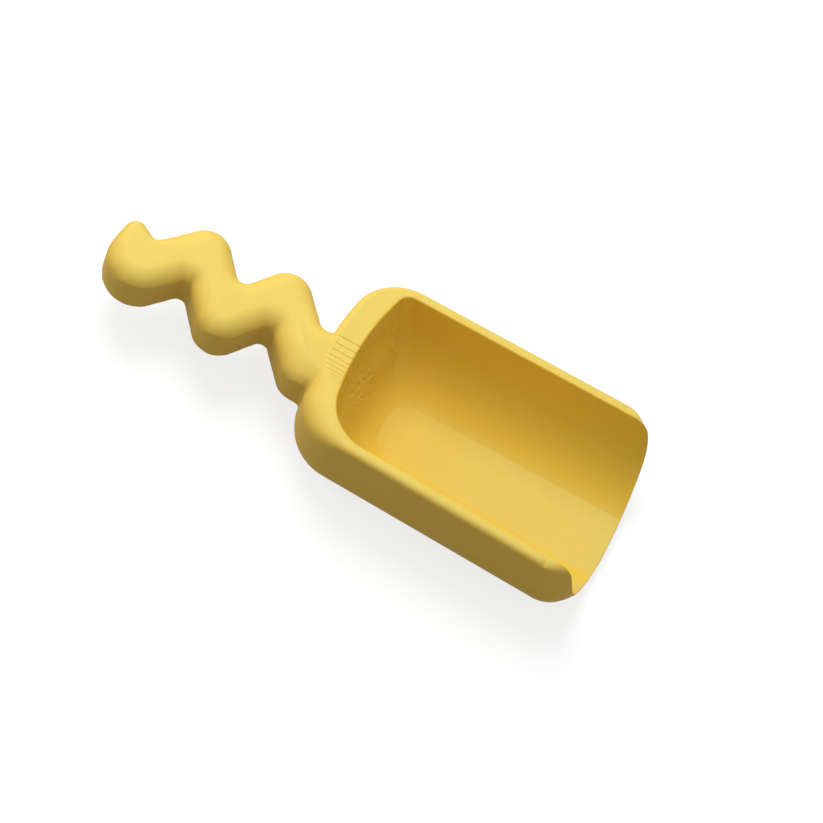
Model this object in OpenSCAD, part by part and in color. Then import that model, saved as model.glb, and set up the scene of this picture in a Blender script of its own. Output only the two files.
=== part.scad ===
// Sand shovel: an open U-section scoop with a thick back wall and a zigzag grip.
// Sizes in millimetres. Z is up, +X points from the grip to the lip, the ground is z = 0.

/* [Scoop bowl] */
// Length from the back of the scoop to the lip
scoop_length = 119; // [100:1:150]
// Outer width where the side walls leave the back corners
scoop_width = 70; // [66:1:90]
// Height from the ground to the rim
scoop_height = 37; // [35:0.5:46]
// Spread of each side wall toward the lip, in degrees
side_flare = 1; // [0.5:0.1:2]
// Thickness of the side walls
side_wall = 3.5; // [2.5:0.1:5]
// Thickness of the floor
floor_thickness = 4.2; // [2.5:0.1:5]
// Thickness of the back wall at the rim
back_wall = 10.5; // [9.5:0.5:14]

/* [Roundings] */
// Outer radius of the back corners and along the bottom of the walls
outer_radius = 19; // [17:0.5:22]
// Radius of the bowed back, seen from above
back_bow_radius = 110; // [90:5:200]
// Radius of the hollow between walls and floor
hollow_radius = 18.5; // [15:0.5:20]
// Depth by which the hollow radius is cut short at the floor, which leaves the crease
floor_crease = 0.4; // [0.2:0.1:1]
// Depth by which the outer radius is cut short at the ground
ground_crease = 0.8; // [0.4:0.1:1.2]
// Rounding of the outer edge of the rim
rim_radius = 1.6; // [0.8:0.2:2.4]
// Depth by which the rim rounding is cut short at the top
rim_crease = 0.15; // [0.1:0.05:0.3]
// Corner radius of the lip, seen from above
lip_corner_radius = 13; // [8:0.5:16]
// Radius of the front corner of the rim, seen from the side
rim_front_radius = 16; // [8:0.5:20]

/* [Grip] */
// Width of the grip, across each straight run
grip_width = 17; // [16.8:0.2:20]
// Height of the grip
grip_height = 20.5; // [18:0.5:24]
// Edge rounding of the grip
grip_edge_radius = 4.2; // [2:0.1:4.2]
// Amount by which each bend is fuller than the straight runs
knuckle_swell = 0.15; // [0.1:0.05:0.5]
// Height of the rim above the top of the grip
grip_drop = 2.5; // [2:0.5:5]
// Distance between two bends on the same side
zigzag_pitch = 32.9; // [30:0.5:40]
// Distance of each bend from the middle plane
zigzag_reach = 10.2; // [8:0.2:12]
// Distance of the first bend behind the scoop
root_run = 3.5; // [2:0.5:8]
// Length of the last short run behind the fifth bend
end_run = 8.5; // [5:0.5:14]
// Turn of the grip at its last bend, in degrees
end_turn = 102; // [60:1:110]

/* [Dowels] */
// Diameter of the two dowels between grip and back wall
dowel_diameter = 5; // [4:0.5:6]
// Length of each dowel
dowel_length = 14; // [12:0.5:15]
// Depth of each dowel bore in the wall, from the back of the scoop
dowel_depth = 7; // [6:0.5:7.5]
// Distance between the two dowels
dowel_spacing = 11; // [9:0.5:12]
// Radial clearance of a dowel in its bore
dowel_clearance = 0.05; // [0.02:0.01:0.1]
// Free space behind a dowel in the grip
dowel_end_gap = 0.4; // [0.2:0.1:1]

/* [Hidden] */
$fn = 96;
yellow = [0.92, 0.80, 0.40];
pin_yellow = [0.86, 0.72, 0.33];
past = 5;
lap = 1;
seam_step = 0.1;
seam_turn = 0.5;
run_step = zigzag_pitch / 2;
lean = atan2(2 * zigzag_reach, run_step);
bends = [for (k = [0:4]) [-root_run - k * run_step, (k % 2 == 0 ? -1 : 1) * zigzag_reach]];
end_way = 180 + lean - end_turn;
grip_end = bends[4] + end_run * [cos(end_way), sin(end_way)];
grip_middle = scoop_height - grip_drop - grip_height / 2;
tip_x = min(grip_end[0], bends[4][0]) - grip_width / 2 - knuckle_swell;
middle_x = (tip_x + scoop_length) / 2;

// Centre of the rounded back corner on the +Y side of a tray
function corner_y(half, corner) = half - corner * cos(side_flare);
function corner_x(back, half, corner, bow) =
    back + bow - sqrt(pow(bow - corner, 2) - pow(corner_y(half, corner), 2));

// Angle of the bowed back that one corner leaves free
function bow_angle(half, corner, bow) = asin(corner_y(half, corner) / (bow - corner));

// Solid tray whose outline is a bowed back, two round corners and two flared sides.
// Both children are its wall profile, drawn from the corner centre outward: the first one for
// sides and corners, the second one for the bowed back, which stands out from the corners by a
// step too small to see or feel. The tray is cut off flat at its lowest and highest level.
module tray(back, half, corner, bow, low, high, front) {
    cy = corner_y(half, corner);
    cx = corner_x(back, half, corner, bow);
    beta = bow_angle(half, corner, bow) + seam_turn;
    reach = front - cx;
    overlap = past + (bow - corner) * (1 - cos(beta));
    difference() {
        union() {
            translate([0, 0, low - 4])
                linear_extrude(height = high - low + 8)
                    polygon([
                        [cx - lap, -cy - 1.5 * lap],
                        [cx + reach - lap, -cy - 1.5 * lap - reach * tan(side_flare)],
                        [cx + reach - lap, cy + 1.5 * lap + reach * tan(side_flare)],
                        [cx - lap, cy + 1.5 * lap]
                    ]);
            for (side = [0, 1])
                mirror([0, side, 0])
                    translate([cx, cy, 0]) {
                        rotate([0, 0, side_flare])
                            rotate([90, 0, 90])
                                linear_extrude(height = reach)
                                    children(0);
                        rotate([0, 0, 90 + side_flare])
                            rotate_extrude(angle = 90 - side_flare)
                                children(0);
                    }
            translate([back + bow, 0, 0])
                rotate([0, 0, 180 - beta])
                    rotate_extrude(angle = 2 * beta, $fn = 360) {
                        translate([bow - corner + seam_step, 0])
                            children(1);
                        translate([bow - corner - overlap, low - 3])
                            square([overlap + lap, high - low + 6]);
                    }
        }
        for (level = [low - 2 * past, high])
            translate([back - past, -2 * half, level])
                cube([2 * front, 4 * half, 2 * past]);
    }
}

// Quarter of a disc in the first quadrant
module quarter(radius) {
    intersection() {
        circle(r = radius);
        square([radius, radius]);
    }
}

// Wall profile of the outside with a rounded rim edge. It runs on below the ground and above
// the rim, by a share of the depth at which the roundings are cut short.
module outer_profile(share) {
    middle = outer_radius - ground_crease;
    below = ground_crease * share;
    rim_middle = scoop_height - rim_radius + rim_crease;
    above = rim_radius - rim_crease + rim_crease * share;
    translate([0, -1 - share])
        square([2 * lap, 2 + share]);
    intersection() {
        translate([0, middle])
            circle(r = outer_radius);
        translate([0, -below])
            square([outer_radius, middle + below]);
    }
    translate([0, middle])
        square([outer_radius, rim_middle - middle]);
    translate([0, rim_middle])
        square([outer_radius - rim_radius, above]);
    translate([outer_radius - rim_radius, rim_middle])
        intersection() {
            circle(r = rim_radius);
            square([rim_radius, above]);
        }
    translate([0, rim_middle])
        square([2 * lap, rim_radius + 1 + share]);
}

// Wall profile of the hollow. It runs on below the floor in the same way.
module hollow_profile(share) {
    middle = floor_thickness - floor_crease + hollow_radius;
    below = floor_thickness - floor_crease * share;
    translate([0, middle])
        square([hollow_radius, scoop_height + past + 1 + share - middle]);
    intersection() {
        translate([0, middle])
            circle(r = hollow_radius);
        translate([0, below])
            square([hollow_radius, middle - below]);
    }
    translate([0, floor_thickness - 1 - share])
        square([2 * lap, 2 + share]);
}

module outside() {
    tray(0, scoop_width / 2, outer_radius, back_bow_radius, 0, scoop_height, scoop_length + past) {
        outer_profile(0.5);
        outer_profile(0.65);
    }
}

module hollow() {
    tray(back_wall, scoop_width / 2 - side_wall, hollow_radius, back_bow_radius - back_wall,
            floor_thickness, scoop_height + past, scoop_length + 3 * past) {
        hollow_profile(0.5);
        hollow_profile(0.65);
    }
}

// Material that is cut away in front of the lip, at its corners and at the front of the rim
module front_cuts() {
    translate([scoop_length, -scoop_width, -past])
        cube([2 * past + scoop_length, 2 * scoop_width, scoop_height + 2 * past]);
    cy = corner_y(scoop_width / 2, outer_radius);
    cx = corner_x(0, scoop_width / 2, outer_radius, back_bow_radius);
    lip_x = scoop_length - lip_corner_radius + seam_step;
    lip_y = cy + (lip_x - cx) * tan(side_flare) + (outer_radius - lip_corner_radius) / cos(side_flare)
        + seam_step;
    for (side = [0, 1])
        mirror([0, side, 0])
            translate([lip_x, lip_y, -past])
                linear_extrude(height = scoop_height + 2 * past)
                    difference() {
                        polygon([
                            [0, 0],
                            [2 * scoop_width, 0],
                            [2 * scoop_width, scoop_width],
                            [-scoop_width * sin(side_flare), scoop_width * cos(side_flare)]
                        ]);
                        circle(r = lip_corner_radius);
                    }
    translate([scoop_length - rim_front_radius + seam_step, scoop_width,
            scoop_height - rim_front_radius + seam_step])
        rotate([90, 0, 0])
            linear_extrude(height = 2 * scoop_width)
                difference() {
                    square([rim_front_radius + past, rim_front_radius + past]);
                    circle(r = rim_front_radius);
                }
}

// Half of a section of the grip that is swelled by a small amount, on the +X side of its middle
module half_section(swell) {
    wide = grip_width / 2 + swell - grip_edge_radius;
    tall = grip_height / 2 + swell - grip_edge_radius;
    translate([0, -tall - grip_edge_radius])
        square([wide, 2 * (tall + grip_edge_radius)]);
    translate([wide, -tall])
        square([grip_edge_radius, 2 * tall]);
    translate([wide, tall])
        quarter(grip_edge_radius);
    translate([wide, -tall])
        mirror([0, 1])
            quarter(grip_edge_radius);
}

// One straight run of the grip between two points seen from above
module run(a, b) {
    way = b - a;
    translate([a[0], a[1], 0])
        rotate([0, 0, atan2(way[1], way[0])])
            rotate([90, 0, 90])
                linear_extrude(height = norm(way)) {
                    half_section(0);
                    mirror([1, 0])
                        half_section(0);
                }
}

// Round knuckle of a bend or of an end, a little fuller than the runs that meet in it
module knuckle(at) {
    translate([at[0], at[1], 0])
        rotate_extrude()
            half_section(knuckle_swell);
}

module dowel_bores(depth_extra) {
    for (lift = [-1, 1])
        translate([dowel_depth, -zigzag_reach, grip_middle + lift * dowel_spacing / 2])
            rotate([0, -90, 0])
                cylinder(d = dowel_diameter + 2 * dowel_clearance, h = dowel_length + depth_extra, $fn = 48);
}

module dowel(lift) {
    translate([dowel_depth - middle_x, -zigzag_reach, grip_middle + lift * dowel_spacing / 2])
        rotate([0, -90, 0])
            cylinder(d = dowel_diameter, h = dowel_length, $fn = 48);
}

module scoop_body() {
    color(yellow)
        translate([-middle_x, 0, 0])
            difference() {
                outside();
                hollow();
                front_cuts();
                dowel_bores(dowel_end_gap);
            }
}

module handle() {
    color(yellow)
        translate([-middle_x, 0, 0])
            difference() {
                translate([0, 0, grip_middle]) {
                    for (k = [0:3])
                        run(bends[k], bends[k + 1]);
                    run(bends[4], grip_end);
                    for (at = concat(bends, [grip_end]))
                        knuckle(at);
                }
                outside();
                dowel_bores(dowel_end_gap);
            }
}

module dowel_upper() {
    color(pin_yellow)
        dowel(1);
}

module dowel_lower() {
    color(pin_yellow)
        dowel(-1);
}

scoop_body();
handle();
dowel_upper();
dowel_lower();
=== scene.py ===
"""Sand shovel: a deep open scoop in matte printed plastic with a chunky zigzag grip."""

from __future__ import annotations

import logging
import math
from dataclasses import dataclass
from enum import Enum
from typing import Any

import bmesh
import bpy
import numpy as np
from mathutils import Matrix, Vector, noise


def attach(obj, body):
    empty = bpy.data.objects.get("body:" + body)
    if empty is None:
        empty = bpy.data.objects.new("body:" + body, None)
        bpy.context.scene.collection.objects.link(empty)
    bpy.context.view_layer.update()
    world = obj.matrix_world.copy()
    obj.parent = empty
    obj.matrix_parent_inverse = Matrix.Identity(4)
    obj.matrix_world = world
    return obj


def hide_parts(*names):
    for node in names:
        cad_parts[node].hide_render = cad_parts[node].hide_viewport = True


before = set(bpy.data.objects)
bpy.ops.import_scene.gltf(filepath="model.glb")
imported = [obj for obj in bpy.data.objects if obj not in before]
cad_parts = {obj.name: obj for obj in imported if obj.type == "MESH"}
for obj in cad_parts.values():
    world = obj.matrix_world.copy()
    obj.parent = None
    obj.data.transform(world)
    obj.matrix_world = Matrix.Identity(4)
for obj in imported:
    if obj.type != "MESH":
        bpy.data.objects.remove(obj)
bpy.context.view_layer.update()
LOG = logging.getLogger("sand_shovel")

MM = 0.001
BACK_X = -17.844  # row-frame x of the middle of the scoop's back, in millimetres
RGB = tuple[float, float, float]
Span = tuple[float, float]


class Side(Enum):
    """The two long sides of the scoop, seen from the camera."""

    NEAR = -1
    FAR = 1


class Hand(Enum):
    """The two flanks of the grip, seen along the zigzag from the wall to the tip."""

    LEFT = 1
    RIGHT = -1


class Bend(Enum):
    """How one flank of the grip turns at a bend."""

    CONVEX = "convex"
    CONCAVE = "concave"


class Pick(Enum):
    """Which of several shader values is taken, as the Math node names it."""

    SMALLEST = "MINIMUM"
    LARGEST = "MAXIMUM"


def linear(colour: RGB) -> RGB:
    """Turns an 8-bit display colour into a linear one.

    Args:
        colour: Red, green and blue from 0 to 255.

    Returns:
        The same colour in linear light, from 0 to 1.
    """
    shares = (c / 255 for c in colour)
    return tuple(c / 12.92 if c <= 0.04045 else ((c + 0.055) / 1.055) ** 2.4 for c in shares)


def ease(low: float, high: float, value: Any) -> Any:
    """Smooth step from 0 to 1.

    Args:
        low: Value at which the step starts.
        high: Value at which it ends, which may be the smaller one.
        value: A number or an array.

    Returns:
        The eased share, of the same shape as value.
    """
    t = np.clip((value - low) / (high - low), 0.0, 1.0)
    return t * t * (3 - 2 * t)


class MeshMaker:
    """Collects grids of points in millimetres and joins them into one object."""

    merge_gap: float = 2e-6
    least_edge: float = 1e-6

    def __init__(self) -> None:
        """Starts with no points."""
        self.points: list[np.ndarray] = []
        self.faces: list[tuple[int, ...]] = []
        self.count = 0

    def grid(self, rows: np.ndarray) -> None:
        """Adds a sheet of quads.

        Args:
            rows: Points of shape (rows, columns, 3).
        """
        high, wide, _ = rows.shape
        start = self.count
        self.points.append(rows.reshape(-1, 3))
        self.count += high * wide
        for i in range(high - 1):
            a = start + i * wide
            self.faces.extend((a + j, a + j + 1, a + wide + j + 1, a + wide + j) for j in range(wide - 1))

    def cap(self, loop: np.ndarray) -> None:
        """Adds one flat face.

        Args:
            loop: Its corner points, of shape (corners, 3).
        """
        self.points.append(loop)
        self.faces.append(tuple(range(self.count, self.count + len(loop))))
        self.count += len(loop)

    def coordinates(self) -> np.ndarray:
        """All points so far, as one array."""
        return np.concatenate(self.points)

    def finish(self, name: str, points: np.ndarray, sharp: float) -> bpy.types.Object:
        """Makes the object from final points.

        Args:
            name: Name of the object.
            points: The points in millimetres, in the order they were added.
            sharp: Angle in degrees above which an edge stays crisp.

        Returns:
            The new object, linked to the scene.
        """
        mesh = bpy.data.meshes.new(name)
        mesh.from_pydata((points * MM).tolist(), [], self.faces)
        work = bmesh.new()
        work.from_mesh(mesh)
        bmesh.ops.remove_doubles(work, verts=work.verts, dist=self.merge_gap)
        bmesh.ops.dissolve_degenerate(work, dist=self.least_edge, edges=work.edges)
        bmesh.ops.recalc_face_normals(work, faces=work.faces)
        work.to_mesh(mesh)
        work.free()
        mesh.shade_smooth()
        mesh.set_sharp_from_angle(angle=math.radians(sharp))
        piece = bpy.data.objects.new(name, mesh)
        bpy.context.scene.collection.objects.link(piece)
        return piece


class Wire:
    """A shader socket on which plain arithmetic adds Math nodes."""

    def __init__(self, sheet: NodeSheet, socket: bpy.types.NodeSocket) -> None:
        """Wraps one output socket of a sheet."""
        self.sheet = sheet
        self.socket = socket

    def __add__(self, other: Any) -> Wire:
        """Sum."""
        return self.sheet.maths("ADD", self, other)

    def __sub__(self, other: Any) -> Wire:
        """Difference."""
        return self.sheet.maths("SUBTRACT", self, other)

    def __rsub__(self, other: Any) -> Wire:
        """Difference with a number in front."""
        return self.sheet.maths("SUBTRACT", other, self)

    def __mul__(self, other: Any) -> Wire:
        """Product."""
        return self.sheet.maths("MULTIPLY", self, other)


class NodeSheet:
    """The node tree of one material or of the world."""

    def __init__(self, owner: bpy.types.Material | bpy.types.World) -> None:
        """Starts with an empty tree."""
        owner.use_nodes = True
        self.tree = owner.node_tree
        self.tree.nodes.clear()

    def node(self, kind: str, settings: dict[str, Any], inputs: dict[Any, Any]) -> bpy.types.Node:
        """Adds one node.

        Args:
            kind: Blender's type name of the node.
            settings: Attributes, which are set first.
            inputs: Values or links of its sockets, by name or number.

        Returns:
            The new node.
        """
        made = self.tree.nodes.new(kind)
        for key, value in settings.items():
            setattr(made, key, value)
        for key, value in inputs.items():
            source = value.socket if isinstance(value, Wire) else value
            if isinstance(source, bpy.types.NodeSocket):
                self.tree.links.new(source, made.inputs[key])
            else:
                made.inputs[key].default_value = source
        return made

    def wire(self, kind: str, output: str) -> Wire:
        """One output of a new node without inputs."""
        return Wire(self, self.node(kind, {}, {}).outputs[output])

    def maths(self, operation: str, *values: Any) -> Wire:
        """Adds one Math node.

        Args:
            operation: The node's operation.
            values: Its inputs, wires or numbers.

        Returns:
            The wire of its value.
        """
        made = self.node("ShaderNodeMath", {"operation": operation}, dict(enumerate(values)))
        return Wire(self, made.outputs[0])

    def pick(self, choice: Pick, *wires: Wire) -> Wire:
        """The smallest or the largest of several values.

        Args:
            choice: Which one.
            wires: The values.

        Returns:
            The wire of the chosen value.
        """
        chosen = wires[0]
        for other in wires[1:]:
            chosen = self.maths(choice.value, chosen, other)
        return chosen

    def noise(self, place: Wire, scale: float, detail: float) -> Wire:
        """Noise value.

        Args:
            place: The coordinates.
            scale: Features per metre.
            detail: Number of finer layers.

        Returns:
            The wire of its value.
        """
        made = self.node("ShaderNodeTexNoise", {}, {"Vector": place, "Scale": scale, "Detail": detail})
        return Wire(self, made.outputs[0])

    def axis(self, place: Wire, name: str) -> Wire:
        """One coordinate of a place or a direction."""
        return Wire(self, self.node("ShaderNodeSeparateXYZ", {}, {0: place}).outputs[name])

    def seen(self) -> Wire:
        """1 where a ray comes from the camera, mirrored or through glass too, and else 0."""
        path = self.node("ShaderNodeLightPath", {}, {})
        rays = ("Is Camera Ray", "Is Glossy Ray", "Is Transmission Ray")
        return self.pick(Pick.LARGEST, *(Wire(self, path.outputs[ray]) for ray in rays))

    def blend(self, share: Wire, first: RGB | Wire, second: RGB | Wire) -> Wire:
        """Mix of two colours.

        Args:
            share: Share of the second colour, held between 0 and 1.
            first: First colour, linear, or the wire of one.
            second: Second colour, linear, or the wire of one.

        Returns:
            The wire of the mixed colour.
        """
        ends = [colour if isinstance(colour, Wire) else (*colour, 1.0) for colour in (first, second)]
        made = self.node("ShaderNodeMix", {"data_type": "RGBA"}, {0: share, 6: ends[0], 7: ends[1]})
        return Wire(self, made.outputs[2])

    def surface(self, inputs: dict[str, Any]) -> None:
        """Ends the sheet in a Principled surface with these inputs."""
        made = self.node("ShaderNodeBsdfPrincipled", {}, inputs)
        self.node("ShaderNodeOutputMaterial", {}, {"Surface": made.outputs[0]})


@dataclass(frozen=True)
class BowlShade:
    """Where painted shade and bounce light go: the bowl's inner walls and the back of its floor.

    Places are in metres in the row frame. Each slope says how fast the share changes there.
    """

    middle_x: float = 0.04
    wall_slope: float = 150.0
    back_x: float = -0.0125
    back_slope: float = 200.0
    near_y: float = -0.0195
    near_slope: float = 300.0
    corner_x: float = 0.012
    corner_slope: float = 120.0
    floor_x: float = 0.06
    floor_slope: float = 12.0
    floor_half_squared: float = 0.0005
    floor_edge_slope: float = 10000.0
    rim_z: float = 0.03
    rim_slope: float = 100.0

    def share(self, sheet: NodeSheet, place: Wire, normal: Wire) -> Wire:
        """Share of the painted shade and bounce light.

        Args:
            sheet: The sheet that gets the nodes.
            place: Object coordinates.
            normal: Surface normal.

        Returns:
            The wire of the share, which may pass 0 or 1.
        """
        x, y, z = (sheet.axis(place, name) for name in "XYZ")
        inward = sheet.axis(normal, "X") * (self.middle_x - x) - sheet.axis(normal, "Y") * y
        past_back = (x - self.back_x) * self.back_slope
        off_near = (y - self.near_y) * self.near_slope
        past_near = sheet.pick(Pick.LARGEST, off_near, (self.corner_x - x) * self.corner_slope)
        on_wall = sheet.pick(Pick.SMALLEST, inward * self.wall_slope, past_back, past_near)
        toward_back = (self.floor_x - x) * self.floor_slope
        within = (self.floor_half_squared - y * y) * self.floor_edge_slope
        below_rim = (self.rim_z - z) * self.rim_slope
        on_floor = sheet.pick(Pick.SMALLEST, toward_back, past_back, within, below_rim)
        return sheet.pick(Pick.LARGEST, on_wall, on_floor)


@dataclass(frozen=True)
class PrintedPlastic:
    """Matte printed plastic with faint layers, fine grain and painted shade on steep faces and in the bowl.
    """

    name: str
    light: RGB
    deep: RGB
    # Painted shade: colour of steep faces, which turn away from the light above.
    side: RGB
    # Painted shade and warm bounce light: colour of the bowl's inner walls and the back of its floor.
    hollow: RGB
    shade: BowlShade = BowlShade()
    roughness: float = 0.56
    roughness_sway: float = 0.16
    gloss: float = 0.08
    cloud_scale: float = 45.0
    cloud_share: float = 0.65
    fleck_scale: float = 420.0
    fleck_depth: float = 0.4
    grain_scale: float = 1900.0
    grain_depth: float = 0.5
    layer_pitch: float = 0.35
    layer_depth: float = 0.1
    layer_sway: float = 0.4
    bump_strength: float = 0.35
    bump_depth: float = 0.12

    def material(self) -> bpy.types.Material:
        """Builds the node material.

        Returns:
            The new material.
        """
        material = bpy.data.materials.new(self.name)
        sheet = NodeSheet(material)
        place = sheet.wire("ShaderNodeTexCoord", "Object")
        normal = sheet.wire("ShaderNodeNewGeometry", "Normal")
        cloud = sheet.noise(place, self.cloud_scale, 3.0)
        fleck = sheet.noise(place, self.fleck_scale, 2.0)
        grain = sheet.noise(place, self.grain_scale, 2.0)
        tone = cloud * self.cloud_share + fleck * (1 - self.cloud_share)
        upward = sheet.axis(normal, "Z")
        flat = sheet.blend(tone, linear(self.light), linear(self.deep))
        # Painted shade: the steeper a face, the more it takes the darker side colour.
        outside = sheet.blend(upward * upward, linear(self.side), flat)
        # Painted shade and bounce light: the bowl's insides take the hollow colour.
        colour = sheet.blend(self.shade.share(sheet, place, normal), outside, linear(self.hollow))
        height = sheet.axis(place, "Z") + cloud * (self.layer_sway * MM)
        layers = sheet.maths("SINE", height * (2 * math.pi / (self.layer_pitch * MM)))
        relief = layers * self.layer_depth + grain * self.grain_depth + fleck * self.fleck_depth
        depth = {"Strength": self.bump_strength, "Distance": self.bump_depth * MM, "Height": relief}
        bump = sheet.node("ShaderNodeBump", {}, depth)
        sheet.surface(
            {
                "Base Color": colour,
                "Roughness": grain * self.roughness_sway + (self.roughness - self.roughness_sway / 2),
                "Specular IOR Level": self.gloss,
                "Normal": bump.outputs["Normal"],
            }
        )
        return material


YELLOW = PrintedPlastic(
    name="printed_yellow",
    light=(228, 203, 104),
    deep=(223, 194, 92),
    # painted shade on steep faces
    side=(224, 185, 80),
    # painted shade and bounce light in the bowl
    hollow=(232, 194, 70),
)
PIN_YELLOW = PrintedPlastic(
    name="dowel_yellow",
    light=(226, 196, 100),
    deep=(212, 180, 84),
    # painted shade on steep faces
    side=(220, 184, 84),
    # painted shade and bounce light in the bowl
    hollow=(220, 176, 76),
    roughness=0.62,
)


@dataclass(frozen=True)
class TrayPlan:
    """Outline of one tray seen from above: a bowed back, two round corners, two flared sides."""

    back: float
    half: float
    corner: float
    bow: float
    flare: float = math.radians(1.0)

    @property
    def corner_y(self) -> float:
        """Distance of a corner centre from the middle plane."""
        return self.half - self.corner * math.cos(self.flare)

    @property
    def corner_x(self) -> float:
        """Place of the corner centres along the shovel."""
        return self.back + self.bow - math.sqrt((self.bow - self.corner) ** 2 - self.corner_y**2)

    @property
    def swing(self) -> float:
        """Half the angle of the bowed back."""
        return math.asin(self.corner_y / (self.bow - self.corner))

    def back_half(self, radius: float, corner_steps: int, bow_steps: int) -> np.ndarray:
        """Line from the far side wall around the corner to the middle of the back.

        Args:
            radius: Distance from the corner centres.
            corner_steps: Steps around the corner.
            bow_steps: Steps along half of the bowed back.

        Returns:
            Points of shape (corner_steps + bow_steps + 1, 2).
        """
        turn = np.linspace(math.pi / 2 + self.flare, math.pi - self.swing, corner_steps + 1)
        corner_x, corner_y = self.corner_x + radius * np.cos(turn), self.corner_y + radius * np.sin(turn)
        sweep = np.linspace(math.pi - self.swing, math.pi, bow_steps + 1)[1:]
        reach = self.bow - self.corner + radius
        bow = np.stack([self.back + self.bow + reach * np.cos(sweep), reach * np.sin(sweep)], axis=1)
        return np.concatenate([np.stack([corner_x, corner_y], axis=1), bow])

    def side_y(self, radius: float, x: float) -> float:
        """Distance of a side wall's line from the middle plane at a place along the shovel."""
        out = radius / math.cos(self.flare) + (x - self.corner_x) * math.tan(self.flare)
        return self.corner_y + out


@dataclass(frozen=True)
class LipCut:
    """Where the scoop ends in front: a bowed lip that leans back toward the rim.

    The front is also drawn back from the inner toward the outer surface, more on the side walls than on
    the floor, less close to the rim and more low down.
    """

    length: float = 119.9
    far_bow: float = 0.0018
    near_bow: float = 0.0042
    most_bow: float = 2.8
    lean: float = 0.006
    height: float = 37.0
    rim: float = 5.0
    floor_slant: float = 2.5
    wall_slant: float = 8.5
    wall_band: Span = (12.0, 27.0)
    rim_less: float = 4.0
    rim_band: Span = (31.0, 37.0)
    low_more: float = 2.5
    low_band: Span = (16.0, 6.0)

    def front(self, y: np.ndarray, z: np.ndarray) -> np.ndarray:
        """Place of the front surface at the inside of the wall.

        Args:
            y: Distances across the shovel.
            z: Heights.

        Returns:
            The x of the front surface at each point.
        """
        bow = np.where(y < 0, self.near_bow, self.far_bow) * y**2
        bow = self.most_bow * np.tanh(bow / self.most_bow)
        up = np.clip(z - (self.height - self.rim), 0, self.rim)
        rim = self.rim - np.sqrt(self.rim**2 - up**2)
        return self.length - bow - self.lean * z**2 - rim

    def slant(self, y: np.ndarray, z: np.ndarray, share: np.ndarray) -> np.ndarray:
        """How far the front is drawn back toward the outer surface.

        Args:
            y: Distances across the shovel.
            z: Heights.
            share: Shares across the wall, from 0 outside to 1 inside.

        Returns:
            The depth at each point.
        """
        wall = self.wall_slant - self.rim_less * ease(*self.rim_band, z)
        wall = wall + self.low_more * ease(*self.low_band, z)
        most = self.floor_slant + ease(*self.wall_band, np.abs(y)) * wall
        return most * (1 - np.sqrt(share))


@dataclass(frozen=True)
class Pitting:
    """One kind of small pits in the inner back wall, scattered about a middle."""

    count: int
    middle: float
    spread: float
    heights: Span
    widths: Span
    depths: Span
    squash: Span | None = None
    fall: float = 1.0

    def depth(self, rng: np.random.Generator, y: np.ndarray, z: np.ndarray) -> np.ndarray:
        """Depth of all pits of this kind.

        Args:
            rng: Source of the places and sizes.
            y: Distances across the shovel.
            z: Heights.

        Returns:
            The depth at each point.
        """
        total = np.zeros_like(y)
        for _ in range(self.count):
            pit_y, pit_z = rng.normal(self.middle, self.spread), rng.uniform(*self.heights)
            wide, deep = rng.uniform(*self.widths), rng.uniform(*self.depths)
            tall = wide * rng.uniform(*self.squash) if self.squash else wide
            gap = ((y - pit_y) / wide) ** 2 + ((z - pit_z) / tall) ** 2
            total += deep * np.exp(-gap * self.fall)
        return total


BROAD_PITS = Pitting(170, 4.0, 9.0, (12, 35), (0.4, 1.0), (0.1, 0.45), squash=(0.7, 1.2), fall=1.6)
SMALL_PITS = Pitting(46, 5.0, 8.0, (10, 34), (0.3, 0.5), (0.4, 0.9))


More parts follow.
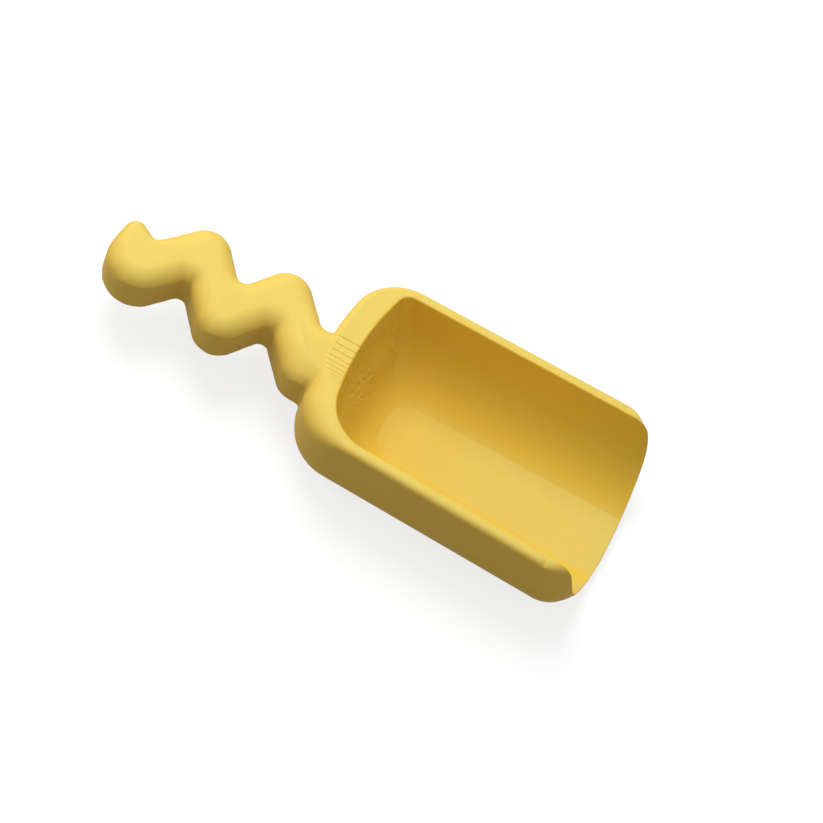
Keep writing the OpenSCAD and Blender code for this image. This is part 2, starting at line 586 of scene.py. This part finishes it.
@dataclass(frozen=True)
class PrintMarks:
    """Marks of the print on the bowl: layer steps on the back rim, pits in the back wall, rim nicks."""

    bow: float
    back_wall: float
    height: float
    layer_start: float = 3.4
    layer_gaps: tuple[float, ...] = (3.0, 2.7, 2.5, 1.9, 1.75, 1.5, 1.35, 1.25, 1.2, 1.1)
    layer_fall: float = 0.37
    layer_fade: float = 0.018
    layer_riser: float = 0.45
    layer_end_x: float = 24.0
    layer_band: Span = (0.7, 0.05)
    outer_fade: Span = (0.0, 0.25)
    inner_fade: Span = (1.2, 1.0)
    pits: tuple[Pitting, ...] = (BROAD_PITS, SMALL_PITS)
    pit_seed: int = 11
    pit_end_x: float = 30.0
    pit_low: float = 6.0
    pit_band: Span = (0.7, 2.2)
    pit_slack: float = 0.2
    nicks: tuple[Span, ...] = ((101.0, 35.0), (100.4, -35.4))
    nick_size: Span = (0.6, 1.3)
    nick_depth: float = 0.4
    nick_band: Span = (3.0, 0.5)

    def from_back(self, x: np.ndarray, y: np.ndarray) -> np.ndarray:
        """Distance inward from the outer surface of the bowed back."""
        return self.bow - np.hypot(x - self.bow, y)

    def below_rim(self, band: Span, z: np.ndarray) -> np.ndarray:
        """Eased share between two depths below the rim."""
        return ease(self.height - band[0], self.height - band[1], z)

    def layers(self, x: np.ndarray, y: np.ndarray, z: np.ndarray) -> np.ndarray:
        """Depth of the layer steps, each a short riser and a long slope.

        Args:
            x: Places along the shovel, from the scoop's back.
            y: Distances across the shovel.
            z: Heights.

        Returns:
            The depth at each point.
        """
        steps = np.zeros_like(y)
        edge = self.layer_start
        for k, gap in enumerate(self.layer_gaps):
            inside = (y <= edge) & (y > edge - gap)
            slope = ease(0.0, self.layer_riser, edge - y) * np.clip((y - (edge - gap)) / gap, 0, 1)
            steps = np.where(inside, slope * (self.layer_fall - self.layer_fade * k), steps)
            edge -= gap
        on_rim = self.below_rim(self.layer_band, z) * (x < self.layer_end_x)
        across = self.from_back(x, y) / self.back_wall
        return steps * on_rim * ease(*self.outer_fade, across) * ease(*self.inner_fade, across)

    def pitted(self, x: np.ndarray, y: np.ndarray, z: np.ndarray) -> np.ndarray:
        """Depth of the pits, with the same arguments and result as the layer steps."""
        rng = np.random.default_rng(self.pit_seed)
        depth = sum(kind.depth(rng, y, z) for kind in self.pits)
        inner = (self.from_back(x, y) > self.back_wall - self.pit_slack) & (x < self.pit_end_x)
        inner &= (z > self.pit_low) & (z < self.height - self.pit_band[0])
        return np.where(inner, depth * self.below_rim(self.pit_band, z), 0.0)

    def nicked(self, x: np.ndarray, y: np.ndarray, z: np.ndarray) -> np.ndarray:
        """Depth of the nicks, with the same arguments and result as the layer steps."""
        total = np.zeros_like(y)
        for nick_x, nick_y in self.nicks:
            gap = np.hypot((x - nick_x) / self.nick_size[0], (y - nick_y) / self.nick_size[1])
            total += self.nick_depth * np.exp(-(gap**2))
        return total * self.below_rim(self.nick_band, z)

    def apply(self, points: np.ndarray) -> np.ndarray:
        """Adds all marks.

        Args:
            points: All points, with x measured from the scoop's back.

        Returns:
            The moved points.
        """
        points = points.copy()
        points[:, 2] -= self.layers(*points.T)
        points[:, 0] -= self.pitted(*points.T)
        points[:, 2] -= self.nicked(*points.T)
        return points


@dataclass
class ScoopBody:
    """The bowl: floor, side walls, thick back wall, rim and lip."""

    outer: TrayPlan = TrayPlan(back=0.0, half=35.0, corner=19.0, bow=110.0)
    lip: LipCut = LipCut()
    height: float = 37.0
    floor: float = 4.2
    ground_crease: float = 0.8
    inner_back: float = 10.3
    inner_half: float = 30.8
    near_corner: float = 17.0
    far_corner: float = 5.0
    floor_corner: float = 8.0
    back_lean: float = 0.22
    lean_band: Span = (3.0, 20.0)
    floor_inset: float = 19.4
    hollow_rise: float = 26.0
    crease_turn: float = 20.0
    rim_radius: float = 2.3
    rim_soft: float = 9.0
    soft_across: Span = (-3.0, -21.0)
    soft_along: Span = (25.0, 6.0)
    rim_inside: float = 0.6
    edge: float = 0.5
    crisp_angle: float = 14.0
    curve_rows: int = 64
    wall_rows: int = 26
    rim_rows: int = 10
    lip_share: float = 0.72
    lip_steps: int = 44
    wall_steps: int = 30
    corner_steps: int = 30
    bow_steps: int = 84
    band_steps: int = 18
    floor_columns: int = 41
    fit_rounds: int = 6
    piece: bpy.types.Object | None = None

    def outer_rows(self, rim: float) -> np.ndarray:
        """Outer wall profile from the underside to the rim.

        Args:
            rim: Rounding of the rim's outer edge.

        Returns:
            Distance from the corner centre and height, of shape (rows, 2).
        """
        big = self.outer.corner
        low = big - self.ground_crease
        turn = np.linspace(math.acos(low / big), math.pi / 2, self.curve_rows)
        rise = np.linspace(low, self.height - rim, self.wall_rows)[1:-1]
        top = np.linspace(0, math.pi / 2, self.rim_rows)
        out = [big * np.sin(turn), np.full_like(rise, big), big - rim * (1 - np.cos(top))]
        up = [low - big * np.cos(turn), rise, self.height - rim * (1 - np.sin(top))]
        return np.stack([np.concatenate(out), np.concatenate(up)], axis=1)

    def inner_rows(self) -> np.ndarray:
        """Inner wall profile from the floor's crease to the rim, facing the outer rows.

        Returns:
            Distance inward from the rim's inner edge and height, of shape (rows, 2).
        """
        first, rim = math.radians(self.crease_turn), self.rim_inside
        wide = self.floor_inset / (1 - math.sin(first))
        low = self.floor + self.hollow_rise * math.cos(first)
        turn = np.linspace(first, math.pi / 2, self.curve_rows)
        rise = np.linspace(low, self.height - rim, self.wall_rows)[1:-1]
        top = np.linspace(0, math.pi / 2, self.rim_rows)
        inset = [wide * (1 - np.sin(turn)), np.zeros_like(rise), -rim * (1 - np.cos(top))]
        up = [low - self.hollow_rise * np.cos(turn), rise, self.height - rim * (1 - np.sin(top))]
        return np.stack([np.concatenate(inset), np.concatenate(up)], axis=1)

    def hollow_plan(self, inset: float, z: float, side: Side) -> TrayPlan:
        """Outline of the hollow at one depth.

        Args:
            inset: Distance inward from the rim's inner edge at the sides.
            z: Height.
            side: Which of the two back corners.

        Returns:
            The outline, whose corner changes from the rim to the floor.
        """
        corner = self.far_corner if side is Side.FAR else self.near_corner
        share = (max(inset, 0.0) / self.floor_inset) ** 2
        lean = self.back_lean * (self.height - z) * float(ease(*self.lean_band, z))
        return TrayPlan(
            back=self.inner_back + inset + lean,
            half=self.inner_half - inset,
            corner=corner + (self.floor_corner - corner) * share - min(inset, 0.0),
            bow=self.outer.bow - self.inner_back - inset - lean,
        )

    def side_steps(self) -> np.ndarray:
        """Shares of a side wall's length, from the lip to the back corner, finer near the lip."""
        fine = np.linspace(1.0, self.lip_share, self.lip_steps)[:-1]
        return np.concatenate([fine, np.linspace(self.lip_share, 0.0, self.wall_steps)])

    def half_line(self, plan: TrayPlan, radius: float, z: float, side: Side, share: float) -> np.ndarray:
        """Half of one line around the scoop at a given height.

        Args:
            plan: Outline of the tray.
            radius: Distance from the corner centres.
            z: Height.
            side: Which half.
            share: Share across the wall, 0 on the outer and 1 on the inner surface.

        Returns:
            Points of shape (stations, 3) from the lip to the middle of the back.
        """
        turned = np.array([1.0, float(side.value)])
        back = plan.back_half(radius, self.corner_steps, self.bow_steps) * turned
        back = np.concatenate([back, np.full((len(back), 1), z)], axis=1)
        x, y = self.lip.length, 0.0
        for _ in range(self.fit_rounds):
            y = plan.side_y(radius, x) * side.value
            spot = np.array([y]), np.array([z])
            x = float((self.lip.front(*spot) - self.lip.slant(*spot, np.array([share])))[0])
            x -= self.edge * share
        end = np.array([x, y, z])
        wall = back[0] + self.side_steps()[:-1, None] * (end - back[0])
        return np.concatenate([wall, back])

    @staticmethod
    def whole_line(near: np.ndarray, far: np.ndarray) -> np.ndarray:
        """Joins two halves into one line from the near lip around the back to the far lip."""
        return np.concatenate([near, far[::-1][1:]])

    def drawn_back(self, gap: np.ndarray) -> np.ndarray:
        """How far an edge rounding draws a front face back.

        Args:
            gap: Distances from the edge.

        Returns:
            The depth at each distance.
        """
        rest = np.clip(self.edge - gap, 0, self.edge)
        return self.edge - np.sqrt(self.edge**2 - rest**2)

    def band_shares(self) -> np.ndarray:
        """Shares across a wall from outside to inside, finer near both edges."""
        turn = np.linspace(0, math.pi, self.band_steps + 1)
        return 0.5 - 0.5 * np.cos(turn)

    def ribbon(self, outside: np.ndarray, inside: np.ndarray) -> np.ndarray:
        """Front face between two lines.

        Args:
            outside: Points on the outer surface, of shape (rows, 3).
            inside: The facing points on the inner surface.

        Returns:
            Points of shape (rows, columns, 3).
        """
        share = self.band_shares()[None, :, None]
        sheet = outside[:, None, :] * (1 - share) + inside[:, None, :] * share
        rest = np.linalg.norm((inside - outside)[:, None, 1:] * (1 - share), axis=2)
        x = self.lip.front(sheet[:, :, 1], sheet[:, :, 2])
        slant = self.lip.slant(sheet[:, :, 1], sheet[:, :, 2], share[:, :, 0])
        sheet[:, :, 0] = x - slant - self.drawn_back(rest)
        return sheet

    def flat(self, line: np.ndarray, side_share: float) -> np.ndarray:
        """Flat sheet between the near and the far half of a line around the scoop.

        Args:
            line: The line, with as many points on the near as on the far half.
            side_share: Share across the wall, 0 on the outer and 1 on the inner surface.

        Returns:
            Points of shape (stations, columns, 3).
        """
        half = len(line) // 2 + 1
        near, far = line[:half], line[::-1][:half]
        share = np.linspace(0, 1, self.floor_columns)[None, :, None]
        sheet = near[:, None, :] * (1 - share) + far[:, None, :] * share
        steps = self.side_steps()
        ends = self.lip.front(sheet[0, :, 1], sheet[0, :, 2])
        part = np.full(self.floor_columns, side_share)
        ends = ends - self.lip.slant(sheet[0, :, 1], sheet[0, :, 2], part) - self.edge * side_share
        root = sheet[len(steps) - 1, :, 0]
        sheet[: len(steps), :, 0] = root + steps[:, None] * (ends - root)
        return sheet

    def outer_sheet(self) -> np.ndarray:
        """Outer surface from the underside to the rim, with a soft rim at the near back corner."""
        rims = []
        for rim in (self.rim_radius, self.rim_soft):
            lines = [
                self.whole_line(*(self.half_line(self.outer, radius, z, side, 0.0) for side in Side))
                for radius, z in self.outer_rows(rim)
            ]
            rims.append(np.stack(lines))
        crisp, soft = rims
        share = ease(*self.soft_across, crisp[-1, :, 1]) * ease(*self.soft_along, crisp[-1, :, 0])
        return crisp + (soft - crisp) * share[None, :, None]

    def inner_sheet(self) -> np.ndarray:
        """Inner surface from the floor's crease to the rim."""
        lines = []
        for inset, z in self.inner_rows():
            plans = {side: self.hollow_plan(inset, z, side) for side in Side}
            halves = [self.half_line(plan, plan.corner, z, side, 1.0) for side, plan in plans.items()]
            lines.append(self.whole_line(*halves))
        return np.stack(lines)

    def build(self) -> None:
        """Builds the bowl as one closed mesh."""
        outside, inside = self.outer_sheet(), self.inner_sheet()
        maker = MeshMaker()
        maker.grid(outside)
        maker.grid(inside)
        share = self.band_shares()[:, None, None]
        band = outside[-1][None] * (1 - share) + inside[-1][None] * share
        for station, step in ((0, 1), (-1, -1)):
            face = self.ribbon(outside[:, station], inside[:, station])
            maker.grid(face)
            pull = face[-1, :, 0] - band[:, station, 0]
            for k, part in enumerate(self.side_steps()):
                band[:, station + step * k, 0] += pull * part
        maker.grid(band)
        under, floor = self.flat(outside[0], 0.0), self.flat(inside[0], 1.0)
        for sheet in (under, floor):
            last, rest = sheet[-self.bow_steps - 1], sheet[-self.bow_steps :]
            maker.grid(sheet[: -self.bow_steps])
            maker.cap(np.concatenate([last, rest[:, -1], rest[-2::-1, 0]]))
        maker.grid(self.ribbon(under[0], floor[0]))
        marks = PrintMarks(self.outer.bow, self.inner_back, self.height)
        points = marks.apply(maker.coordinates())
        points[:, 0] += BACK_X
        self.piece = maker.finish("printed_scoop", points, self.crisp_angle)

    def dress(self, finish: bpy.types.Material) -> None:
        """Gives the bowl its finish and lets it stand for the CAD node."""
        self.piece.data.materials.append(finish)
        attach(self.piece, "root")
        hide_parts("scoop_body")


@dataclass
class ZigzagGrip:
    """The grip: a rounded bar that zigzags away from the back wall."""

    width: float = 17.4
    tall: float = 21.2
    top: float = 35.2
    top_edge: float = 7.6
    near_edge: float = 7.0
    near_drop: float = 4.2
    crease_way: Span = (0.48, -0.88)
    crease_band: Span = (0.45, 0.9)
    low_edge: float = 5.0
    pitch: float = 32.9
    reach: float = 10.2
    root: float = 3.5
    sway: tuple[Span, ...] = ((0.6, 1.1), (-0.7, 1.6), (0.7, 0.7), (0.7, 0.6), (0.2, 0.9))
    convex: float = 9.4
    concave: float = 2.8
    start_x: float = 1.4
    left_seat: Span = (3.6, -7.0)
    left_root_x: float = 1.6
    left_root_round: float = 3.0
    right_seat: Span = (1.5, 12.5)
    right_root_x: float = 0.15
    right_root_round: float = 3.6
    root_rise: float = 1.74
    rise_along: Span = (-15.0, -1.0)
    rise_across: Span = (-15.0, -5.0)
    wall_bow: float = 110.0
    wall_corner_y: float = 16.0
    wall_corner_bend: float = 0.0277
    seat_depth: float = 2.0
    seat_more: float = 2.5
    seat_across: Span = (-4.0, -14.0)
    tip: Span = (-76.4, 2.7)
    tip_round: float = 4.6
    left_tip_turn: float = 172.4
    right_tip_turn: float = 60.0
    tip_slim: float = 0.55
    slim_band: Span = (5.0, 15.0)
    heel: float = 12.2
    notch: float = 1.8
    uneven: float = 0.05
    uneven_below: float = 0.1
    uneven_band: Span = (9.0, 2.0)
    uneven_scale: float = 0.28
    crisp_angle: float = 40.0
    bend_steps: int = 34
    tip_steps: int = 40
    spacing: float = 0.45
    edge_rows: int = 20
    flank_rows: int = 10
    piece: bpy.types.Object | None = None

    @staticmethod
    def directions(path: np.ndarray, hand: Hand) -> tuple[np.ndarray, np.ndarray]:
        """Directions of travel along a path, and the outward normals on one hand."""
        ways = np.diff(path, axis=0)
        ways /= np.linalg.norm(ways, axis=1)[:, None]
        return ways, np.stack([-ways[:, 1], ways[:, 0]], axis=1) * hand.value

    @staticmethod
    def bend(before: np.ndarray, after: np.ndarray, hand: Hand) -> Bend:
        """How the flank on one hand turns between two directions of travel."""
        turn = before[0] * after[1] - before[1] * after[0]
        return Bend.CONCAVE if turn * hand.value > 0 else Bend.CONVEX

    def middle_line(self) -> np.ndarray:
        """Corner points of the zigzag seen from above, from inside the wall to the last bend."""
        step = self.pitch / 2
        bends = [
            (dx - self.root - k * step, dy + self.reach * (-1 if k % 2 == 0 else 1))
            for k, (dx, dy) in enumerate(self.sway)
        ]
        return np.array([(self.start_x, bends[0][1]), *bends])

    def tip_line(self, hand: Hand) -> tuple[np.ndarray, np.ndarray]:
        """Straight line that leads into the round tip.

        Args:
            hand: Which flank.

        Returns:
            The point where it touches the tip and its direction of travel.
        """
        turn = math.radians(self.left_tip_turn if hand is Hand.LEFT else self.right_tip_turn)
        out = np.array([math.cos(turn), math.sin(turn)])
        way = np.array([out[1], -out[0]]) * hand.value
        return np.array(self.tip) + self.tip_round * out, way

    def corners(self, hand: Hand) -> list[tuple[np.ndarray, float]]:
        """Corner points of one flank before they are rounded.

        Args:
            hand: Which flank.

        Returns:
            Each corner with its rounding, from inside the wall to the round tip.
        """
        path = self.middle_line()
        ways, out = self.directions(path, hand)
        found: list[tuple[np.ndarray, float]] = []
        for k in range(1, len(path) - 1):
            a, b = out[k - 1], out[k]
            bend = self.bend(ways[k - 1], ways[k], hand)
            radius = self.concave if bend is Bend.CONCAVE else self.convex
            found.append((path[k] + (a + b) * self.width / 2 / (1 + a @ b), radius))
        touch, way = self.tip_line(hand)
        last = path[-1] + out[-1] * self.width / 2
        along = np.linalg.solve(np.stack([ways[-1], -way], axis=1), touch - last)[0]
        found.append((last + along * ways[-1], self.heel if hand is Hand.LEFT else self.notch))
        found.append((touch, 0.0))
        first = found[0][0]
        if hand is Hand.RIGHT:
            run = found[1][0] - first
            root = first + run / run[0] * (self.right_root_x - first[0])
            return [(np.array(self.right_seat), 0.0), (root, self.right_root_round), *found[1:]]
        seat = np.array([self.left_seat[0], first[1] + self.left_seat[1]])
        root = np.array([self.left_root_x, first[1]])
        return [(seat, 0.0), (root, self.left_root_round), *found]

    def flank(self, hand: Hand) -> tuple[np.ndarray, np.ndarray]:
        """One flank seen from above, with rounded bends.

        Args:
            hand: Which flank.

        Returns:
            Points and outward normals, each of shape (points, 2).
        """
        spots = self.corners(hand)
        ways, out = self.directions(np.array([spot for spot, _ in spots]), hand)
        points: list[np.ndarray] = [spots[0][0]]
        normals: list[np.ndarray] = [out[0]]
        for k in range(1, len(spots) - 1):
            a, b = out[k - 1], out[k]
            corner, radius = spots[k]
            sign = -1.0 if self.bend(ways[k - 1], ways[k], hand) is Bend.CONCAVE else 1.0
            centre = corner - sign * (a + b) * radius / (1 + a @ b)
            start, stop = math.atan2(a[1], a[0]), math.atan2(b[1], b[0])
            swing = (stop - start + math.pi) % (2 * math.pi) - math.pi
            for share in np.linspace(0, 1, self.bend_steps):
                angle = start + swing * share
                normal = np.array([math.cos(angle), math.sin(angle)])
                points.append(centre + sign * radius * normal)
                normals.append(normal)
        points.append(spots[-1][0])
        normals.append(out[-1])
        return np.array(points), np.array(normals)

    def outline(self) -> tuple[np.ndarray, np.ndarray]:
        """Whole outline seen from above, from the wall around the free end and back.

        Returns:
            Points and outward normals, each of shape (points, 2), evenly spaced.
        """
        left, left_out = self.flank(Hand.LEFT)
        right, right_out = self.flank(Hand.RIGHT)
        ends = [math.atan2(out[-1][1], out[-1][0]) for out in (left_out, right_out)]
        turn = np.linspace(*ends, self.tip_steps)[1:-1]
        cap_out = np.stack([np.cos(turn), np.sin(turn)], axis=1)
        points = np.concatenate([left, np.array(self.tip) + cap_out * self.tip_round, right[::-1]])
        normals = np.concatenate([left_out, cap_out, right_out[::-1]])
        length = np.concatenate([[0], np.cumsum(np.linalg.norm(np.diff(points, axis=0), axis=1))])
        even = np.linspace(0, length[-1], int(length[-1] / self.spacing))
        points = np.stack([np.interp(even, length, points[:, k]) for k in (0, 1)], axis=1)
        normals = np.stack([np.interp(even, length, normals[:, k]) for k in (0, 1)], axis=1)
        return points, normals / np.linalg.norm(normals, axis=1)[:, None]

    def section(self, drop: float, over: float) -> np.ndarray:
        """Half section of the bar, from below to above.

        Args:
            drop: How far the rounded top falls before it meets the flank.
            over: How far the rounded top reaches in from the outline.

        Returns:
            Inset from the outline and height, of shape (points, 2).
        """
        low, high, under = self.top - self.tall, self.top, self.low_edge
        turn = np.linspace(0, math.pi / 2, self.edge_rows)
        radius = (over**2 + drop**2) / (2 * drop)
        fall = np.linspace(math.asin(min(1.0, over / radius)), 0, self.edge_rows)
        rise = np.linspace(low + under, high - drop, self.flank_rows + 2)[1:-1]
        inset = [under * (1 - np.sin(turn)), np.zeros_like(rise), over - radius * np.sin(fall)]
        up = [low + under * (1 - np.cos(turn)), rise, high - radius * (1 - np.cos(fall))]
        return np.stack([np.concatenate(inset), np.concatenate(up)], axis=1)

    def build(self) -> None:
        """Builds the grip as one closed mesh, with a crease along the flanks that face the camera."""
        points, normals = self.outline()
        gap = np.linalg.norm(points - np.array(self.tip), axis=1)
        slim = self.tip_slim + (1 - self.tip_slim) * ease(*self.slim_band, gap)[:, None]
        near = ease(*self.crease_band, normals @ np.array(self.crease_way))[:, None]
        rounded = self.section(self.top_edge, self.top_edge)
        creased = self.section(self.near_drop, self.near_edge)
        rows = []
        for start, change in zip(rounded, creased - rounded):
            inset, up = start[0] + change[0] * near, start[1] + change[1] * near
            rows.append(np.concatenate([points - normals * inset * slim, up], axis=1))
        sheet = self.weather(self.seated(np.stack(rows)), normals)
        maker = MeshMaker()
        maker.grid(sheet)
        maker.cap(sheet[0])
        maker.cap(sheet[-1])
        maker.cap(np.concatenate([sheet[:, 0], sheet[::-1, -1]]))
        final = maker.coordinates()
        final[:, 0] += BACK_X
        self.piece = maker.finish("printed_grip", final, self.crisp_angle)

    def seated(self, sheet: np.ndarray) -> np.ndarray:
        """Lifts the root's top to the rim and keeps the root within the back wall.

        Args:
            sheet: Points of shape (rows, columns, 3).

        Returns:
            The moved points.
        """
        sheet = sheet.copy()
        x, y = sheet[:, :, 0], sheet[:, :, 1]
        up = (sheet[:, :, 2] - (self.top - self.tall)) / self.tall
        rise = self.root_rise * ease(*self.rise_along, x) * ease(*self.rise_across, y)
        sheet[:, :, 2] += rise * np.clip(2 * up - 1, 0, 1)
        beyond = np.clip(np.abs(y) - self.wall_corner_y, 0, None)
        wall = y**2 / (2 * self.wall_bow) + self.wall_corner_bend * beyond**2
        sheet[:, :, 0] = np.minimum(x, wall + self.seat_depth + self.seat_more * ease(*self.seat_across, y))
        return sheet

    def weather(self, sheet: np.ndarray, normals: np.ndarray) -> np.ndarray:
        """Makes the flanks slightly uneven, more so toward the underside.

        Args:
            sheet: Points of shape (rows, columns, 3), which are moved.
            normals: Outward normals of the columns, of shape (columns, 2).

        Returns:
            The same sheet.
        """
        below = [self.top - self.tall + height for height in self.uneven_band]
        for row in sheet[1:-1]:
            rough = self.uneven + self.uneven_below * float(ease(*below, row[0, 2]))
            for k, point in enumerate(row):
                sway = noise.noise(Vector(point) * self.uneven_scale) * rough
                point[:2] += normals[k] * sway
        return sheet

    def dress(self, finish: bpy.types.Material) -> None:
        """Gives the grip its finish and lets it stand for the CAD node."""
        self.piece.data.materials.append(finish)
        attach(self.piece, "root")
        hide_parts("handle")


@dataclass
class Dowels:
    """The two pins between grip and back wall, which stay hidden in their bores."""

    names: tuple[str, ...] = ("dowel_upper", "dowel_lower")

    def dress(self, finish: bpy.types.Material) -> None:
        """Gives both pins their finish."""
        for name in self.names:
            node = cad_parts[name]
            node.data.materials.clear()
            node.data.materials.append(finish)


@dataclass
class Studio:
    """Plain pale floor, soft light and the camera."""

    target: tuple[float, float, float] = (18.506, 3.5, 15.0)
    distance: float = 1048.97
    elevation: float = 59.96
    azimuth: float = -0.02
    roll: float = 29.33
    focal_pixels: float = 3012.0
    frame_pixels: float = 823.0
    sensor: float = 36.0
    clip: Span = (0.05, 50.0)
    sky: float = 0.45
    key_watts: float = 8.9
    key_spot: tuple[float, float, float] = (-0.37, 0.40, 0.94)
    key_size: float = 0.7
    side_watts: float = 1.5
    side_spot: tuple[float, float, float] = (-0.85, 0.05, 0.42)
    side_size: float = 0.5
    floor_half: float = 3000.0
    floor_pale: float = 0.27
    floor_glow: float = 0.77
    floor_dull: float = 0.26

    def camera(self) -> None:
        """Places the camera at the viewing angle."""
        e, a, r = (math.radians(v) for v in (self.elevation, self.azimuth, self.roll))
        back = Vector((math.sin(a) * math.cos(e), -math.cos(a) * math.cos(e), math.sin(e)))
        right = Vector((math.cos(a), math.sin(a), 0.0))
        up = back.cross(right)
        across = right * math.cos(r) + up * math.sin(r)
        upward = up * math.cos(r) - right * math.sin(r)
        spot = (Vector(self.target) + back * self.distance) * MM
        lens = bpy.data.cameras.new("photo_camera")
        lens.sensor_width = self.sensor
        lens.lens = self.focal_pixels / self.frame_pixels * self.sensor
        lens.clip_start, lens.clip_end = self.clip
        eye = bpy.data.objects.new("photo_camera", lens)
        columns = Matrix((across, upward, back)).transposed().to_4x4()
        eye.matrix_world = Matrix.Translation(spot) @ columns
        bpy.context.scene.collection.objects.link(eye)
        bpy.context.scene.camera = eye

    def floor(self) -> None:
        """Lays the floor, white to the camera and duller to the object."""
        maker = MeshMaker()
        side = np.linspace(-self.floor_half, self.floor_half, 3)
        maker.grid(np.stack([np.stack([np.full(3, v), side, np.zeros(3)], axis=1) for v in side]))
        plane = maker.finish("floor", maker.coordinates(), 30.0)
        material = bpy.data.materials.new("pale_floor")
        sheet = NodeSheet(material)
        pale, dull = (
            sheet.node("ShaderNodeBsdfDiffuse", {}, {"Color": (grey, grey, grey, 1.0)}).outputs[0]
            for grey in (self.floor_pale, self.floor_dull)
        )
        glow = sheet.node("ShaderNodeEmission", {}, {"Color": (1, 1, 1, 1), "Strength": self.floor_glow})
        white = sheet.node("ShaderNodeAddShader", {}, {0: pale, 1: glow.outputs[0]})
        mix = sheet.node("ShaderNodeMixShader", {}, {0: sheet.seen(), 1: dull, 2: white.outputs[0]})
        sheet.node("ShaderNodeOutputMaterial", {}, {"Surface": mix.outputs[0]})
        plane.data.materials.append(material)

    def lamp(self, name: str, spot: Vector, size: float, watts: float) -> None:
        """Hangs one round lamp that looks at the shovel.

        Args:
            name: Name of the lamp.
            spot: Where it hangs, in metres.
            size: Its diameter.
            watts: Its power.
        """
        light = bpy.data.lights.new(name, "AREA")
        light.shape, light.size, light.energy = "DISK", size, watts
        holder = bpy.data.objects.new(name, light)
        holder.location = spot
        holder.rotation_euler = (-spot).to_track_quat("-Z", "Y").to_euler()
        bpy.context.scene.collection.objects.link(holder)

    def lights(self) -> None:
        """Sets a soft sky, one large lamp above and behind and a weaker one from the grip's end."""
        world = bpy.data.worlds.new("soft_sky")
        bpy.context.scene.world = world
        sheet = NodeSheet(world)
        dim, white = (
            sheet.node("ShaderNodeBackground", {}, {"Color": (1, 1, 1, 1), "Strength": strength}).outputs[0]
            for strength in (self.sky, 1.0)
        )
        mix = sheet.node("ShaderNodeMixShader", {}, {0: sheet.seen(), 1: dim, 2: white})
        sheet.node("ShaderNodeOutputWorld", {}, {"Surface": mix.outputs[0]})
        self.lamp("soft_lamp", Vector(self.key_spot), self.key_size, self.key_watts)
        self.lamp("side_lamp", Vector(self.side_spot), self.side_size, self.side_watts)
        bpy.context.scene.view_settings.view_transform = "Standard"

    def build(self) -> None:
        """Sets up the whole studio."""
        self.camera()
        self.floor()
        self.lights()


def main() -> None:
    """Builds and dresses the shovel's pieces in order."""
    logging.basicConfig(level=logging.INFO, format="%(name)s: %(message)s")
    yellow = YELLOW.material()
    for part in (ScoopBody(), ZigzagGrip()):
        part.build()
        part.dress(yellow)
        LOG.info("%s: %d faces", part.piece.name, len(part.piece.data.polygons))
    Dowels().dress(PIN_YELLOW.material())
    LOG.info("dowels dressed")
    Studio().build()
    LOG.info("studio ready")


if __name__ == "__main__":
    main()
